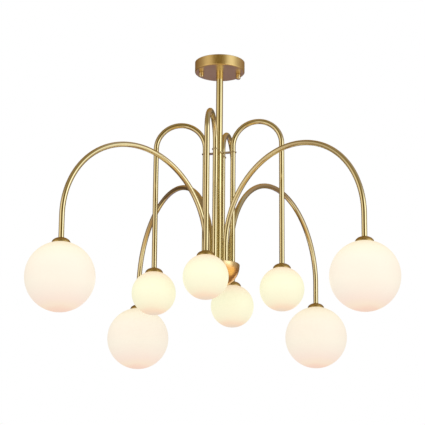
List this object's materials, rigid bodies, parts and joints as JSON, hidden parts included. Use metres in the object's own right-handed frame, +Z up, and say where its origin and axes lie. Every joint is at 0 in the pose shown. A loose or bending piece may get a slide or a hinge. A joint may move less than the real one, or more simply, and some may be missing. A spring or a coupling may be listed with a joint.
{
  "type": "multi arm chandelier",
  "caption": "Ceiling chandelier with cane-shaped brass arms in two lengths round one downrod, each ending in a dome cap and an opal glass globe.",
  "frame": {"origin": "on the ceiling, in the middle of the bracket's top face, over the downrod's axis", "axes": "+Z up along the downrod, -Y towards the viewer, +X to the viewer's right"},
  "size_m": [0.7871, 0.8187, 0.656],
  "materials": {
    "satin_brass": "satin",
    "plated_steel": "satin",
    "ceramic": "matte",
    "nylon": "matte",
    "opal_glass": "satin",
    "lamp_glass": "gloss"
  },
  "bodies": {
    "suspension": {"ceiling_bracket": "plated_steel", "terminal_block": "nylon", "canopy": "satin_brass", "canopy_nut_left": "satin_brass", "canopy_nut_right": "satin_brass", "rod_locknut": "plated_steel", "downrod": "satin_brass", "spacer_plate": "satin_brass", "hub_plate": "satin_brass", "hub_locknut": "plated_steel", "hub_cup": "satin_brass", "hub_finial": "satin_brass"},
    "wide_back_right": {"arm_wide_back_right": "satin_brass", "foot_screw_wide_back_right": "plated_steel", "cap_wide_back_right": "satin_brass", "lampholder_wide_back_right": "ceramic", "bulb_wide_back_right": "lamp_glass"},
    "wide_back_right_glass": {"globe_wide_back_right": "opal_glass"},
    "wide_back_left": {"arm_wide_back_left": "satin_brass", "foot_screw_wide_back_left": "plated_steel", "cap_wide_back_left": "satin_brass", "lampholder_wide_back_left": "ceramic", "bulb_wide_back_left": "lamp_glass"},
    "wide_back_left_glass": {"globe_wide_back_left": "opal_glass"},
    "wide_front_left": {"arm_wide_front_left": "satin_brass", "foot_screw_wide_front_left": "plated_steel", "cap_wide_front_left": "satin_brass", "lampholder_wide_front_left": "ceramic", "bulb_wide_front_left": "lamp_glass"},
    "wide_front_left_glass": {"globe_wide_front_left": "opal_glass"},
    "wide_front_right": {"arm_wide_front_right": "satin_brass", "foot_screw_wide_front_right": "plated_steel", "cap_wide_front_right": "satin_brass", "lampholder_wide_front_right": "ceramic", "bulb_wide_front_right": "lamp_glass"},
    "wide_front_right_glass": {"globe_wide_front_right": "opal_glass"},
    "narrow_right": {"arm_narrow_right": "satin_brass", "foot_screw_narrow_right": "plated_steel", "cap_narrow_right": "satin_brass", "lampholder_narrow_right": "ceramic", "bulb_narrow_right": "lamp_glass"},
    "narrow_right_glass": {"globe_narrow_right": "opal_glass"},
    "narrow_back": {"arm_narrow_back": "satin_brass", "foot_screw_narrow_back": "plated_steel", "cap_narrow_back": "satin_brass", "lampholder_narrow_back": "ceramic", "bulb_narrow_back": "lamp_glass"},
    "narrow_back_glass": {"globe_narrow_back": "opal_glass"},
    "narrow_left": {"arm_narrow_left": "satin_brass", "foot_screw_narrow_left": "plated_steel", "cap_narrow_left": "satin_brass", "lampholder_narrow_left": "ceramic", "bulb_narrow_left": "lamp_glass"},
    "narrow_left_glass": {"globe_narrow_left": "opal_glass"},
    "narrow_front": {"arm_narrow_front": "satin_brass", "foot_screw_narrow_front": "plated_steel", "cap_narrow_front": "satin_brass", "lampholder_narrow_front": "ceramic", "bulb_narrow_front": "lamp_glass"},
    "narrow_front_glass": {"globe_narrow_front": "opal_glass"}
  },
  "joints": [
    {"name": "wide_back_right_swing", "type": "hinge", "parent": "suspension", "child": "wide_back_right", "pos_m": [0.02858, 0.0165, -0.487], "axis": [0, 0, 1], "range_deg": [-57.3, 2.7]},
    {"name": "wide_back_right_glass_off", "type": "slide", "parent": "wide_back_right", "child": "wide_back_right_glass", "axis": [0, 0, -1], "range_m": [0, 0.09]},
    {"name": "wide_back_left_swing", "type": "hinge", "parent": "suspension", "child": "wide_back_left", "pos_m": [-0.0165, 0.02858, -0.487], "axis": [0, 0, 1], "range_deg": [-27.3, 32.7]},
    {"name": "wide_back_left_glass_off", "type": "slide", "parent": "wide_back_left", "child": "wide_back_left_glass", "axis": [0, 0, -1], "range_m": [0, 0.09]},
    {"name": "wide_front_left_swing", "type": "hinge", "parent": "suspension", "child": "wide_front_left", "pos_m": [-0.02858, -0.0165, -0.487], "axis": [0, 0, 1], "range_deg": [-39.1, 20.9]},
    {"name": "wide_front_left_glass_off", "type": "slide", "parent": "wide_front_left", "child": "wide_front_left_glass", "axis": [0, 0, -1], "range_m": [0, 0.09]},
    {"name": "wide_front_right_swing", "type": "hinge", "parent": "suspension", "child": "wide_front_right", "pos_m": [0.0165, -0.02858, -0.487], "axis": [0, 0, 1], "range_deg": [-47.7, 12.3]},
    {"name": "wide_front_right_glass_off", "type": "slide", "parent": "wide_front_right", "child": "wide_front_right_glass", "axis": [0, 0, -1], "range_m": [0, 0.09]},
    {"name": "narrow_right_swing", "type": "hinge", "parent": "suspension", "child": "narrow_right", "pos_m": [0.03188, -0.00854, -0.487], "axis": [0, 0, 1], "range_deg": [-21.8, 18.2]},
    {"name": "narrow_right_glass_off", "type": "slide", "parent": "narrow_right", "child": "narrow_right_glass", "axis": [0, 0, -1], "range_m": [0, 0.09]},
    {"name": "narrow_back_swing", "type": "hinge", "parent": "suspension", "child": "narrow_back", "pos_m": [0.00854, 0.03188, -0.487], "axis": [0, 0, 1], "range_deg": [-22.4, 17.6]},
    {"name": "narrow_back_glass_off", "type": "slide", "parent": "narrow_back", "child": "narrow_back_glass", "axis": [0, 0, -1], "range_m": [0, 0.09]},
    {"name": "narrow_left_swing", "type": "hinge", "parent": "suspension", "child": "narrow_left", "pos_m": [-0.03188, 0.00854, -0.487], "axis": [0, 0, 1], "range_deg": [-31, 9]},
    {"name": "narrow_left_glass_off", "type": "slide", "parent": "narrow_left", "child": "narrow_left_glass", "axis": [0, 0, -1], "range_m": [0, 0.09]},
    {"name": "narrow_front_swing", "type": "hinge", "parent": "suspension", "child": "narrow_front", "pos_m": [-0.00854, -0.03188, -0.487], "axis": [0, 0, 1], "range_deg": [-25.6, 14.4]},
    {"name": "narrow_front_glass_off", "type": "slide", "parent": "narrow_front", "child": "narrow_front_glass", "axis": [0, 0, -1], "range_m": [0, 0.09]}
  ]
}
